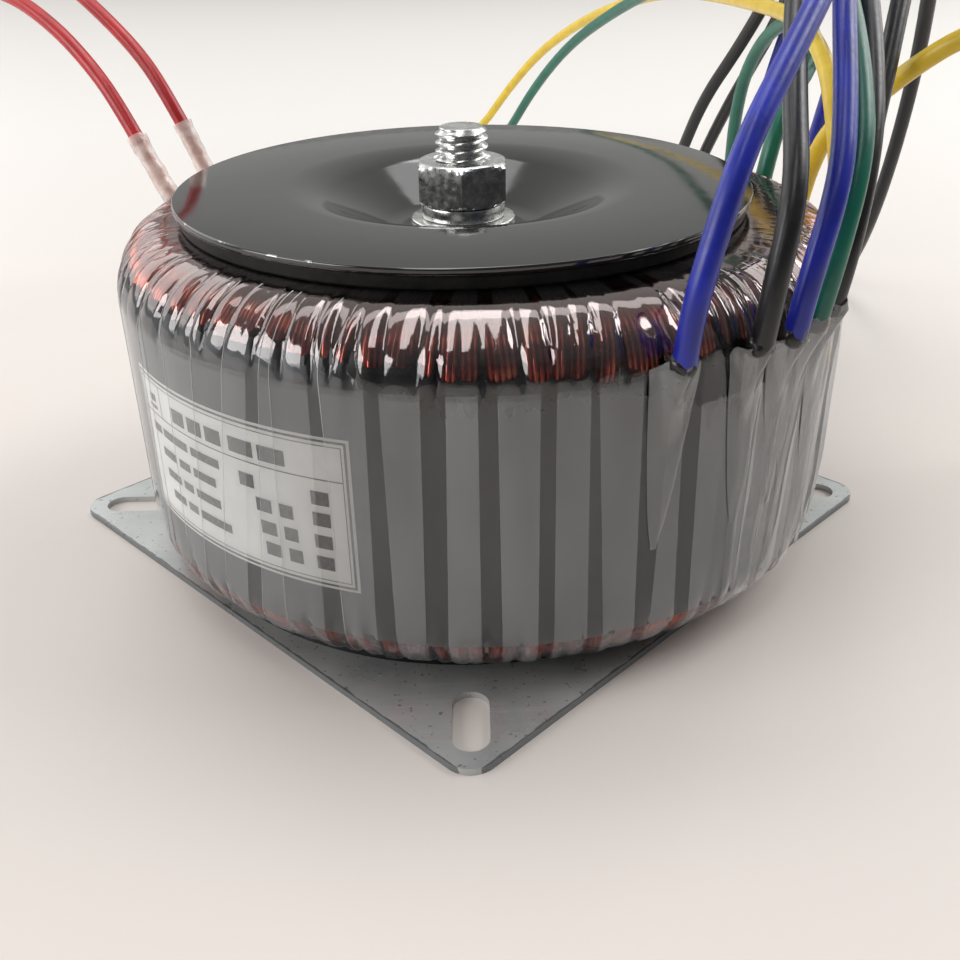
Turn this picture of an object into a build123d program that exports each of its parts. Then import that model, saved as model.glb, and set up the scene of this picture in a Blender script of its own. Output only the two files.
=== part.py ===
"""Toroidal mains transformer on a square steel base plate.

The frame is in millimetres: the origin lies under the middle of the base plate,
+Z runs up along the clamping bolt, and one corner of the plate points to -Y.
"""
import os
from math import cos, pi, radians, tan

from build123d import *

os.makedirs("parts", exist_ok=True)

# Wound ring, finished size over the film wrap
ring_outer_radius = 55.0
ring_bore_share = 0.3545
ring_height = 50.8
ring_shoulder = 9.0
ring_offset = 2.5

# Layers of the ring, from the outside inwards
film_thickness = 0.2
label_thickness = 0.12
label_gap = 0.15
band_thickness = 0.3
band_gap = 0.1
layer_gap = 0.1
turn_thickness = 2.4
interlayer_thickness = 0.4
mid_winding_thickness = 0.8
low_winding_thickness = 0.8
primary_thickness = 2.6
core_wrap_thickness = 0.6

# Bunches of turns of the outer winding
bunch_count = 48
bunch_share = 0.93
corner_leg_share = 0.5858
corner_trim_share = 0.2153

# Magnetic shield band and rating label on the outer wall
band_overhang = 1.6
label_width = 42.0
label_height_share = 0.43
label_middle_share = 0.49
label_bearing = 230.8

# Square base plate with a raised middle and a slot in each corner
base_side = 97.6
base_thickness = 1.0
base_corner_radius = 4.0
slot_length = 11.5
slot_width = 5.0
slot_reach = 58.5
base_rise = 6.2
base_rise_radius = 23.0
base_crown_radius = 11.5
base_bend_radius = 3.0

# Dished clamp plate
clamp_radius = 43.3
clamp_thickness = 1.0
clamp_depth = 6.8
clamp_dish_radius = 23.7
clamp_floor_radius = 10.8
clamp_lip_bend = 12.0
clamp_floor_bend = 4.0
clamp_edge_break = 0.25

# Rubber pads
lower_pad_thickness = 2.0
lower_pad_radius = 47.0
lower_pad_bore_gap = 2.0
upper_pad_thickness = 2.0
upper_pad_inset = 0.7
upper_pad_bore_gap = 4.0
pad_edge_radius = 0.4

# M8 clamping bolt, nut and washers
thread_diameter = 8.0
thread_clearance = 0.15
bolt_tip_chamfer = 0.8
bolt_projection = 4.7
hex_flats = 13.0
hex_chamfer = 0.9
head_height = 5.3
nut_height = 6.5
nut_spin = 30.0
spring_washer_radius = 6.4
spring_washer_thickness = 2.1
spring_washer_gap = 1.4
spring_washer_skew = 20.0
flat_washer_radius = 8.1
flat_washer_thickness = 1.5
clamp_hole_radius = 4.5

# Leads and their sleeves
lead_diameter = 3.0
red_lead_diameter = 2.4
sleeve_diameter = 3.3
arc_share = 0.45
strip_length = 6.0
strip_share = 0.55

# Heights that follow from the stack
lower_pad_base = base_thickness
ring_base = lower_pad_base + lower_pad_thickness
ring_top = ring_base + ring_height
ring_middle = (ring_base + ring_top) / 2
clamp_base = ring_top + upper_pad_thickness
clamp_top = clamp_base + clamp_thickness
clamp_floor = clamp_top - clamp_depth
spring_washer_base = clamp_floor + flat_washer_thickness
nut_base = spring_washer_base + spring_washer_thickness
nut_top = nut_base + nut_height
bolt_top = nut_top + bolt_projection
head_top = base_rise
head_base = head_top - head_height

lower_pad_bore_radius = base_rise_radius + lower_pad_bore_gap
upper_pad_bore_radius = clamp_dish_radius + upper_pad_bore_gap
upper_pad_radius = clamp_radius - upper_pad_inset

ring_bore_radius = ring_outer_radius * ring_bore_share
ring_wall_width = ring_outer_radius - ring_bore_radius
ring_wall_middle = (ring_outer_radius + ring_bore_radius) / 2
thread_radius = thread_diameter / 2
hex_corner_radius = hex_flats / 2 / cos(radians(30))

# Depth of each layer's outside below the film's outside
band_inset = film_thickness + label_gap + label_thickness + label_gap
turn_inset = band_inset + band_thickness + band_gap
interlayer_inset = turn_inset + turn_thickness + layer_gap
mid_inset = interlayer_inset + interlayer_thickness + layer_gap
low_inset = mid_inset + mid_winding_thickness + layer_gap
primary_wrap_inset = low_inset + low_winding_thickness + layer_gap
primary_inset = primary_wrap_inset + interlayer_thickness + layer_gap
core_wrap_inset = primary_inset + primary_thickness + layer_gap
core_inset = core_wrap_inset + core_wrap_thickness + layer_gap


# The ring was clamped a little to the right of the bolt
ring_place = Pos(ring_offset, 0, 0)


def finish(part, name):
    """Label a finished piece and write its STEP file."""
    part.label = name
    export_step(part, f"parts/{name}.step")


# Tape-wound steel core
with BuildPart() as core:
    with BuildSketch(Plane.XZ) as core_section:
        with Locations((ring_wall_middle, ring_middle)):
            Rectangle(ring_wall_width - 2 * core_inset, ring_height - 2 * core_inset)
    revolve(axis=Axis.Z)
finish(ring_place * core.part, "core")

# Inner layers, each a closed sleeve of rectangular section round the one before
inner_layers = {
    "core_insulation": (core_wrap_inset, core_wrap_thickness),
    "primary_winding": (primary_inset, primary_thickness),
    "primary_insulation": (primary_wrap_inset, interlayer_thickness),
    "secondary_winding_low": (low_inset, low_winding_thickness),
    "secondary_winding_mid": (mid_inset, mid_winding_thickness),
    "secondary_insulation": (interlayer_inset, interlayer_thickness),
}
for layer_name, (inset, thickness) in inner_layers.items():
    inside = inset + thickness
    with BuildPart() as layer:
        with BuildSketch(Plane.XZ) as layer_section:
            with Locations((ring_wall_middle, ring_middle)):
                Rectangle(ring_wall_width - 2 * inset, ring_height - 2 * inset)
                Rectangle(ring_wall_width - 2 * inside, ring_height - 2 * inside, mode=Mode.SUBTRACT)
        revolve(axis=Axis.Z)
    finish(ring_place * layer.part, layer_name)

# Outer secondary winding: bunches of turns side by side, each a closed loop round the ring's wall
bunch_inside = turn_inset + turn_thickness
bunch_angle = 360 / bunch_count * bunch_share
bunch_corner = ring_shoulder - turn_inset
with BuildPart() as one_bunch:
    with BuildSketch(Plane.XZ) as bunch_section:
        with Locations((ring_wall_middle, ring_middle)):
            Rectangle(ring_wall_width - 2 * turn_inset, ring_height - 2 * turn_inset)
            chamfer(bunch_section.vertices(), length=bunch_corner * corner_leg_share)
            chamfer(bunch_section.vertices(), length=bunch_corner * corner_trim_share)
            Rectangle(
                ring_wall_width - 2 * bunch_inside,
                ring_height - 2 * bunch_inside,
                mode=Mode.SUBTRACT,
            )
    revolve(axis=Axis.Z, revolution_arc=bunch_angle)
with BuildPart() as secondary_winding_high:
    with PolarLocations(0, bunch_count):
        add(one_bunch.part)
finish(ring_place * secondary_winding_high.part, "secondary_winding_high")

# Shield band of silicon steel strip round the outer wall, just onto both shoulders
band_height = ring_height - 2 * ring_shoulder + 2 * band_overhang
with BuildPart() as shield_band:
    with BuildSketch(Plane.XY.offset(ring_middle - band_height / 2)) as band_plan:
        Circle(ring_outer_radius - band_inset)
        Circle(ring_outer_radius - band_inset - band_thickness, mode=Mode.SUBTRACT)
    extrude(amount=band_height)
finish(ring_place * shield_band.part, "shield_band")

# Paper label under the film, bent round the wall
label_outside = ring_outer_radius - film_thickness - label_gap
label_span = label_width / label_outside * 180 / pi
label_height = ring_height * label_height_share
label_middle_height = ring_base + ring_height * label_middle_share
with BuildPart() as rating_label:
    with BuildSketch(Plane.XZ) as label_section:
        with Locations((label_outside - label_thickness / 2, label_middle_height)):
            Rectangle(label_thickness, label_height)
    revolve(axis=Axis.Z, revolution_arc=label_span)
label_turn = Rotation(0, 0, label_bearing - label_span / 2)
finish(ring_place * label_turn * rating_label.part, "rating_label")

# Clear film wound round the whole ring
with BuildPart() as film_wrap:
    with BuildSketch(Plane.XZ) as film_section:
        with Locations((ring_wall_middle, ring_middle)):
            RectangleRounded(ring_wall_width, ring_height, ring_shoulder)
            RectangleRounded(
                ring_wall_width - 2 * film_thickness,
                ring_height - 2 * film_thickness,
                ring_shoulder - film_thickness,
                mode=Mode.SUBTRACT,
            )
    revolve(axis=Axis.Z)
finish(ring_place * film_wrap.part, "film_wrap")

# Base plate: the square sheet, its slots, and the pressed-up middle that hides the bolt's head
base_hole_radius = thread_radius + thread_clearance
base_join_radius = base_rise_radius + base_bend_radius
with BuildPart() as base_plate:
    with BuildSketch() as base_plan:
        Rectangle(base_side, base_side, rotation=45)
        fillet(base_plan.vertices(), radius=base_corner_radius)
        with PolarLocations(slot_reach, 4):
            SlotOverall(slot_length, slot_width, mode=Mode.SUBTRACT)
        Circle(base_join_radius, mode=Mode.SUBTRACT)
    extrude(amount=base_thickness)
    with BuildSketch(Plane.XZ) as rise_section:
        with BuildLine() as rise_outline:
            under = FilletPolyline(
                (base_hole_radius, base_rise),
                (base_crown_radius, base_rise),
                (base_rise_radius, 0),
                (base_join_radius, 0),
                radius=base_bend_radius,
            )
            over = FilletPolyline(
                (base_hole_radius, base_rise + base_thickness),
                (base_crown_radius, base_rise + base_thickness),
                (base_rise_radius, base_thickness),
                (base_join_radius, base_thickness),
                radius=base_bend_radius,
            )
            Line(under @ 0, over @ 0)
            Line(under @ 1, over @ 1)
        make_face()
    revolve(axis=Axis.Z)
finish(base_plate.part, "base_plate")

# Rubber pads under and over the ring
with BuildPart() as lower_pad:
    with BuildSketch(Plane.XY.offset(lower_pad_base)) as lower_pad_plan:
        Circle(lower_pad_radius)
        Circle(lower_pad_bore_radius, mode=Mode.SUBTRACT)
    extrude(amount=lower_pad_thickness)
finish(lower_pad.part, "lower_pad")

with BuildPart() as upper_pad:
    with BuildSketch(Plane.XZ) as upper_pad_section:
        with BuildLine() as upper_pad_outline:
            Polyline(
                (upper_pad_bore_radius, ring_top),
                (upper_pad_radius, ring_top),
                (upper_pad_radius, clamp_base),
                (upper_pad_bore_radius, clamp_base),
                close=True,
            )
        make_face()
        fillet(upper_pad_section.vertices().group_by(Axis.X)[-1], radius=pad_edge_radius)
    revolve(axis=Axis.Z)
finish(upper_pad.part, "upper_pad")

# Clamp plate: a pressed steel disc with a dished middle for the nut
with BuildPart() as clamp_plate:
    with BuildSketch(Plane.XZ) as clamp_section:
        with BuildLine() as clamp_outline:
            lower_face = FilletPolyline(
                (clamp_hole_radius, clamp_floor - clamp_thickness),
                (clamp_floor_radius, clamp_floor - clamp_thickness),
                (clamp_dish_radius, clamp_base),
                (clamp_radius, clamp_base),
                radius=[clamp_floor_bend, clamp_lip_bend],
            )
            upper_face = FilletPolyline(
                (clamp_hole_radius, clamp_floor),
                (clamp_floor_radius, clamp_floor),
                (clamp_dish_radius, clamp_top),
                (clamp_radius, clamp_top),
                radius=[clamp_floor_bend, clamp_lip_bend],
            )
            Line(lower_face @ 0, upper_face @ 0)
            Line(lower_face @ 1, upper_face @ 1)
        make_face()
        fillet(clamp_section.vertices().group_by(Axis.X)[-1], radius=clamp_edge_break)
    revolve(axis=Axis.Z)
finish(clamp_plate.part, "clamp_plate")

# Bolt: hexagon head inside the plate's raised middle, shank up through the ring
with BuildPart() as centre_bolt:
    with BuildSketch(Plane.XY.offset(head_base)) as head_plan:
        RegularPolygon(hex_flats / 2, 6, major_radius=False, rotation=nut_spin)
    extrude(amount=head_height)
    with BuildSketch(Plane.XZ) as head_bevel:
        with BuildLine() as head_bevel_outline:
            Polyline(
                (0, head_base),
                (hex_flats / 2 - hex_chamfer / 2, head_base),
                (hex_corner_radius, head_base + hex_chamfer),
                (hex_corner_radius, head_top),
                (0, head_top),
                close=True,
            )
        make_face()
    revolve(axis=Axis.Z, mode=Mode.INTERSECT)
    with BuildSketch(Plane.XY.offset(head_top)) as shank_plan:
        Circle(thread_radius)
    extrude(amount=bolt_top - head_top)
    chamfer(centre_bolt.edges().group_by(Axis.Z)[-1], length=bolt_tip_chamfer)
finish(centre_bolt.part, "centre_bolt")

# Flat washer on the dish's floor
washer_hole_radius = thread_radius + 2 * thread_clearance
with BuildPart() as flat_washer:
    with BuildSketch(Plane.XY.offset(clamp_floor)) as flat_washer_plan:
        Circle(flat_washer_radius)
        Circle(washer_hole_radius, mode=Mode.SUBTRACT)
    extrude(amount=flat_washer_thickness)
finish(flat_washer.part, "flat_washer")

# Split spring washer, pressed flat under the nut
with BuildPart() as spring_washer:
    with BuildSketch(Plane.XY.offset(spring_washer_base)) as spring_washer_plan:
        Circle(spring_washer_radius)
        Circle(washer_hole_radius, mode=Mode.SUBTRACT)
        with Locations(Location((spring_washer_radius, 0), spring_washer_skew)):
            Rectangle(spring_washer_radius, spring_washer_gap, mode=Mode.SUBTRACT)
    extrude(amount=spring_washer_thickness)
finish(spring_washer.part, "spring_washer")

# Hexagon nut, bevelled at both ends, with one corner to the front
with BuildPart() as hex_nut:
    with BuildSketch(Plane.XY.offset(nut_base)) as nut_plan:
        RegularPolygon(hex_flats / 2, 6, major_radius=False, rotation=nut_spin)
    extrude(amount=nut_height)
    with BuildSketch(Plane.XZ) as nut_bevel:
        with BuildLine() as nut_bevel_outline:
            Polyline(
                (thread_radius + thread_clearance, nut_base),
                (hex_flats / 2 - hex_chamfer / 2, nut_base),
                (hex_corner_radius, nut_base + hex_chamfer),
                (hex_corner_radius, nut_top - hex_chamfer),
                (hex_flats / 2 - hex_chamfer / 2, nut_top),
                (thread_radius + thread_clearance, nut_top),
                close=True,
            )
        make_face()
    revolve(axis=Axis.Z, mode=Mode.INTERSECT)
finish(hex_nut.part, "hex_nut")

# Routes of the leads, from the wall of the ring to the stripped end on the surface behind
lead_routes = {
    "lead_blue_a": [
        (25.5, -51.9, 47.6), (25.6, -53.0, 54.0), (28.4, -50.8, 64.0), (31.5, -47.0, 72.0),
        (37.0, -39.5, 79.0), (44.0, -28.5, 87.0), (50.0, -15.0, 95.5), (56.0, 2.0, 103.0),
        (62.0, 22.0, 107.0), (67.0, 43.0, 105.0), (71.0, 62.0, 98.0), (73.5, 79.0, 87.0),
        (74.5, 93.0, 74.0), (74.0, 104.0, 60.5), (73.6, 113.0, 47.0), (74.0, 122.0, 33.0),
        (75.5, 131.0, 19.5), (78.0, 142.0, 8.0), (81.0, 155.0, 1.5), (84.0, 170.0, 1.5),
    ],
    "lead_black_a": [
        (35.8, -46.0, 47.4), (36.2, -46.8, 54.0), (38.5, -43.5, 65.3), (40.0, -33.0, 73.0),
        (42.0, -21.5, 82.0), (46.0, -6.0, 90.5), (52.0, 14.0, 97.0), (59.0, 37.0, 99.5),
        (65.0, 60.0, 96.0), (68.5, 80.0, 86.0), (68.5, 96.0, 73.5), (65.5, 108.5, 61.0),
        (60.5, 120.0, 47.5), (58.0, 130.0, 33.5), (56.0, 140.0, 19.0), (54.0, 152.0, 7.0),
        (52.0, 166.0, 1.5), (50.0, 181.0, 1.5),
    ],
    "lead_blue_b": [
        (40.9, -41.8, 46.9), (41.4, -42.7, 53.6), (44.9, -39.0, 65.3), (46.7, -31.0, 73.2),
        (48.4, -20.5, 81.7), (51.5, -7.0, 90.0), (56.0, 5.0, 96.5), (62.0, 17.0, 98.0), (67.5, 29.5, 90.5),
        (69.5, 39.0, 77.0), (69.5, 47.0, 62.0), (69.3, 54.0, 48.5), (70.0, 62.0, 34.5), (72.0, 71.0, 20.5),
        (75.0, 82.0, 8.5), (78.5, 96.0, 1.5), (81.0, 111.0, 1.5),
    ],
    "lead_green_a": [
        (44.6, -37.8, 47.3), (45.5, -38.7, 54.3), (48.8, -34.0, 66.7), (50.3, -25.0, 74.2),
        (51.6, -12.5, 81.7), (54.0, 3.5, 85.9), (57.0, 28.0, 87.5), (57.5, 50.0, 86.0), (57.0, 76.0, 82.0),
        (55.0, 105.0, 77.5), (51.5, 135.0, 73.0), (44.0, 168.0, 64.5), (33.0, 200.0, 51.5),
        (23.0, 224.0, 34.5), (14.5, 241.0, 16.5), (7.0, 257.0, 4.0), (-1.0, 273.0, 1.5),
        (-10.0, 289.0, 1.5),
    ],
    "lead_black_b": [
        (47.8, -33.4, 47.6), (48.7, -34.6, 55.2), (51.8, -28.0, 67.7), (53.7, -18.5, 75.5),
        (55.8, -5.5, 83.5), (58.5, 10.0, 89.4), (61.6, 29.0, 92.2), (68.0, 60.0, 89.5), (70.5, 79.0, 81.0),
        (71.0, 95.0, 69.5), (69.8, 110.0, 57.5), (67.0, 121.0, 45.5), (64.5, 131.0, 33.0),
        (62.5, 141.0, 20.0), (61.0, 152.5, 8.0), (60.0, 166.0, 1.5), (59.0, 181.0, 1.5),
    ],
    "lead_black_c": [
        (59.1, -5.0, 46.5), (59.9, -5.0, 52.5), (60.5, -3.0, 63.5), (63.0, 2.0, 71.0), (66.0, 9.0, 79.0),
        (70.0, 18.0, 87.0), (76.0, 30.0, 92.0), (83.0, 44.0, 90.0), (89.0, 57.0, 79.0), (93.0, 68.0, 61.0),
        (95.0, 78.0, 41.0), (96.0, 89.0, 22.0), (97.0, 103.0, 7.0), (97.0, 119.0, 1.5), (96.0, 134.0, 1.5),
    ],
    "lead_yellow_a": [
        (59.0, 5.9, 46.5), (59.9, 6.1, 53.2), (59.0, 11.0, 64.0), (60.0, 22.0, 70.0), (61.0, 40.0, 73.5),
        (62.5, 62.0, 73.5), (61.5, 88.0, 73.0), (59.5, 118.0, 72.0), (56.0, 150.0, 70.0),
        (50.5, 186.0, 65.0), (40.0, 221.0, 56.5), (27.0, 249.0, 43.5), (15.5, 269.0, 27.0),
        (6.0, 284.0, 11.0), (-3.0, 299.0, 1.5), (-12.0, 313.0, 1.5),
    ],
    "lead_yellow_b": [
        (56.8, 16.6, 46.5), (57.6, 16.8, 52.5), (60.0, 15.0, 60.8), (64.6, 11.0, 65.3), (68.8, 6.5, 71.0),
        (74.0, 2.0, 76.0), (81.0, -2.0, 78.5), (90.0, -4.0, 77.0), (98.0, -4.0, 70.0), (103.5, -3.0, 59.0),
        (107.0, -1.0, 45.0), (109.5, 3.0, 30.0), (112.5, 9.0, 16.0), (117.0, 18.0, 5.0),
        (122.5, 29.0, 1.5), (127.0, 41.0, 1.5),
    ],
    "lead_green_b": [
        (52.7, 26.7, 46.5), (53.4, 27.0, 52.5), (56.5, 31.0, 61.5), (62.0, 38.0, 66.0), (66.0, 49.0, 69.5),
        (68.0, 63.0, 71.5), (68.0, 77.0, 70.5), (66.8, 90.0, 65.5), (65.8, 101.0, 56.5),
        (66.3, 109.0, 45.0), (68.0, 117.0, 32.0), (70.0, 126.0, 18.5), (72.0, 138.0, 7.0),
        (74.0, 152.0, 1.5), (75.0, 167.0, 1.5),
    ],
    "lead_red_a": [
        (-53.3, 15.7, 61.5), (-56.0, 18.0, 65.7), (-60.5, 22.0, 71.0), (-67.5, 28.5, 76.5),
        (-77.0, 37.0, 81.0), (-89.0, 48.0, 82.0), (-102.0, 60.0, 77.0), (-113.0, 70.0, 66.0),
        (-124.0, 76.0, 52.0), (-132.0, 80.0, 36.0), (-138.0, 84.0, 20.0), (-143.0, 91.0, 7.0),
        (-148.0, 102.0, 1.2), (-153.0, 114.0, 1.2),
    ],
    "lead_red_b": [
        (-48.3, 26.3, 61.5), (-50.8, 28.0, 66.0), (-55.0, 32.0, 71.3), (-61.5, 38.0, 76.5),
        (-70.0, 47.0, 81.5), (-81.0, 58.0, 84.5), (-94.0, 69.0, 83.0), (-106.0, 79.0, 76.0),
        (-116.0, 87.0, 65.0), (-124.0, 93.0, 51.0), (-131.0, 98.0, 35.5), (-137.0, 103.0, 20.0),
        (-142.0, 111.0, 7.5), (-147.0, 123.0, 1.2), (-152.0, 135.0, 1.2),
    ],
}
sleeve_routes = {
    "lead_sleeve_a": [(-48.2, 13.3, 51.8), (-51.2, 14.2, 57.2), (-53.2, 15.6, 61.2)],
    "lead_sleeve_b": [(-44.0, 24.0, 51.8), (-46.4, 25.2, 57.2), (-48.2, 26.2, 61.2)],
}


def corner_radii(points):
    """Radius of the arc at each inner point: arc_share of the shorter run over tan of half the turn."""
    radii = []
    for before, here, after in zip(points, points[1:], points[2:]):
        into = Vector(*here) - Vector(*before)
        out = Vector(*after) - Vector(*here)
        turn = radians(into.get_angle(out))
        radii.append(arc_share * min(into.length, out.length) / tan(turn / 2))
    return radii


for lead_name, points in lead_routes.items():
    radii = corner_radii(points)
    lead_radius = (red_lead_diameter if "red" in lead_name else lead_diameter) / 2
    with BuildPart() as lead:
        with BuildLine() as route:
            FilletPolyline(*points, radius=radii)
        path = route.wire()
        with BuildSketch(Plane(path @ 0, z_dir=path % 0)) as lead_section:
            Circle(lead_radius)
        sweep(path=path)
    finish(lead.part, lead_name)
    tube_volume = pi * lead_radius**2 * path.length
    print(lead_name, "radii", [round(radius, 1) for radius in radii])
    volume_share = lead.part.volume / tube_volume
    print(lead_name, "length", round(path.length, 1), "volume share", round(volume_share, 4))

    # Stripped and tinned strand at the lead's end
    with BuildPart() as strand:
        with BuildSketch(Plane(path @ 1, z_dir=path % 1)) as strand_section:
            Circle(lead_radius * strip_share)
        extrude(amount=strip_length)
    finish(strand.part, lead_name + "_end")

# Clear sleeves over the joints of the two primary leads
for sleeve_name, points in sleeve_routes.items():
    with BuildPart() as sleeve:
        with BuildLine() as sleeve_route:
            FilletPolyline(*points, radius=corner_radii(points))
        sleeve_path = sleeve_route.wire()
        with BuildSketch(Plane(sleeve_path @ 0, z_dir=sleeve_path % 0)) as sleeve_section:
            Circle(sleeve_diameter / 2)
        sweep(path=sleeve_path)
    finish(sleeve.part, sleeve_name)
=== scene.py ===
from math import atan2, cos, degrees, exp, hypot, pi, radians, sin, tau
from random import Random

import bmesh
import bpy
from mathutils import Euler, Matrix, Vector, noise


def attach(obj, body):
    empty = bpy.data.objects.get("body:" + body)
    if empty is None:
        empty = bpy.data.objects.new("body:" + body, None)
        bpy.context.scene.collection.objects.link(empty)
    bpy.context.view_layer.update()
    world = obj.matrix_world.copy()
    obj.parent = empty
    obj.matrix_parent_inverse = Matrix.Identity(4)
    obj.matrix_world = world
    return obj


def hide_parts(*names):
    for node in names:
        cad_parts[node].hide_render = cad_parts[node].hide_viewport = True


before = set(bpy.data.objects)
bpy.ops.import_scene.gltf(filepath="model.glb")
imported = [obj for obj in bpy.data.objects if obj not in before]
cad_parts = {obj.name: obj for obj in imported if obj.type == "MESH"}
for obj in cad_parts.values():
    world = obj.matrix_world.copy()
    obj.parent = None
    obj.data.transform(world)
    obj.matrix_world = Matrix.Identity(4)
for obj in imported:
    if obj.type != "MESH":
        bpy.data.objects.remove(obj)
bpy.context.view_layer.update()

# Camera: it stands a little above the front corner of the base plate and looks
# down at the ring, held with a slight roll.
mm = 0.001
camera_place = Vector((1.8, -166.64, 96.43)) * mm
camera_dip = 0.5043
camera_roll = -0.0192
focal_pixels = 1081.8
picture_pixels = 960
sensor_width = 36.0

camera_data = bpy.data.cameras.new("camera")
camera_data.sensor_width = sensor_width
camera_data.lens = focal_pixels / picture_pixels * sensor_width
camera_data.clip_start = 0.005
camera_data.clip_end = 20.0
camera = bpy.data.objects.new("camera", camera_data)
bpy.context.scene.collection.objects.link(camera)
camera.matrix_world = (
    Matrix.Translation(camera_place)
    @ Euler((pi / 2 - camera_dip, 0, 0)).to_matrix().to_4x4()
    @ Matrix.Rotation(camera_roll, 4, "Z")
)
bpy.context.scene.camera = camera
bpy.context.scene.view_settings.view_transform = "Standard"


# Leads: stranded copper in coloured vinyl sheaths. They come out of the winding
# under the folded film, rise, and fall away behind the ring to the table.
def new_finish(name):
    """An empty node material: the material, its node tree and its shader."""
    material = bpy.data.materials.new(name)
    material.use_nodes = True
    tree = material.node_tree
    return material, tree, tree.nodes["Principled BSDF"]


def object_place(tree, stretch=(1, 1, 1)):
    """Object coordinates in millimetres, stretched along the axes."""
    place = tree.nodes.new("ShaderNodeTexCoord")
    mapping = tree.nodes.new("ShaderNodeMapping")
    mapping.inputs["Scale"].default_value = [1000 * share for share in stretch]
    tree.links.new(place.outputs["Object"], mapping.inputs["Vector"])
    return mapping.outputs["Vector"]


def grain(tree, place, scale, detail=3.0, distortion=0.0):
    """A noise pattern read at a place; the scale is in cells per millimetre."""
    pattern = tree.nodes.new("ShaderNodeTexNoise")
    pattern.inputs["Scale"].default_value = scale
    pattern.inputs["Detail"].default_value = detail
    pattern.inputs["Distortion"].default_value = distortion
    tree.links.new(place, pattern.inputs["Vector"])
    return pattern.outputs["Fac"]


def shades(tree, value, stops):
    """Colours or greys along a value."""
    ramp = tree.nodes.new("ShaderNodeValToRGB")
    band = ramp.color_ramp
    while len(band.elements) < len(stops):
        band.elements.new(0.5)
    for element, (position, colour) in zip(band.elements, stops):
        element.position = position
        if isinstance(colour, (int, float)):
            colour = (colour, colour, colour)
        element.color = (*colour, 1)
    tree.links.new(value, ramp.inputs["Fac"])
    return ramp.outputs["Color"]


def reckon(tree, operation, first, second=0.0, third=0.0):
    """One step of arithmetic on sockets or numbers."""
    node = tree.nodes.new("ShaderNodeMath")
    node.operation = operation
    for socket, value in zip(node.inputs, (first, second, third)):
        if isinstance(value, (int, float)):
            socket.default_value = value
        else:
            tree.links.new(value, socket)
    return node.outputs[0]


def blend_colours(tree, share, first, second):
    """One colour laid over another by a share."""
    node = tree.nodes.new("ShaderNodeMix")
    node.data_type = "RGBA"
    for socket, value in ((node.inputs[0], share), (node.inputs[6], first), (node.inputs[7], second)):
        if isinstance(value, bpy.types.NodeSocket):
            tree.links.new(value, socket)
        elif isinstance(value, tuple):
            socket.default_value = (*value, 1)
        else:
            socket.default_value = value
    return node.outputs[2]


def raise_surface(tree, shader, height, distance, strength=1.0):
    """Relief on a finish; the distance is in millimetres."""
    relief = tree.nodes.new("ShaderNodeBump")
    relief.inputs["Strength"].default_value = strength
    relief.inputs["Distance"].default_value = distance * mm
    tree.links.new(height, relief.inputs["Height"])
    tree.links.new(relief.outputs["Normal"], shader.inputs["Normal"])


def mottled(name, scale, dark, light, detail=3.0, spread=(0.3, 0.7), stretch=(1, 1, 1), **settings):
    """A finish that wanders between two tones; the settings are the shader's constants."""
    material, tree, shader = new_finish(name)
    place = object_place(tree, stretch)
    tint = shades(tree, grain(tree, place, scale, detail), list(zip(spread, (dark, light))))
    tree.links.new(tint, shader.inputs["Base Color"])
    for socket_name, value in settings.items():
        shader.inputs[socket_name.replace("_", " ")].default_value = value
    return material, tree, shader, place


def vinyl(name, colour, shadow_colour):
    """Soft extruded vinyl: a satin skin, slightly cloudy, with faint drawn ripples."""
    material, tree, shader, place = mottled(
        name, 0.22, shadow_colour, colour, 4.0, Coat_Weight=0.08, Coat_Roughness=0.25
    )
    scuffs = shades(tree, grain(tree, place, 1.4, 5.0), [(0.35, 0.30), (0.75, 0.44)])
    tree.links.new(scuffs, shader.inputs["Roughness"])
    raise_surface(tree, shader, grain(tree, place, 0.9, 4.0), 0.05, 0.5)
    return material


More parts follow.
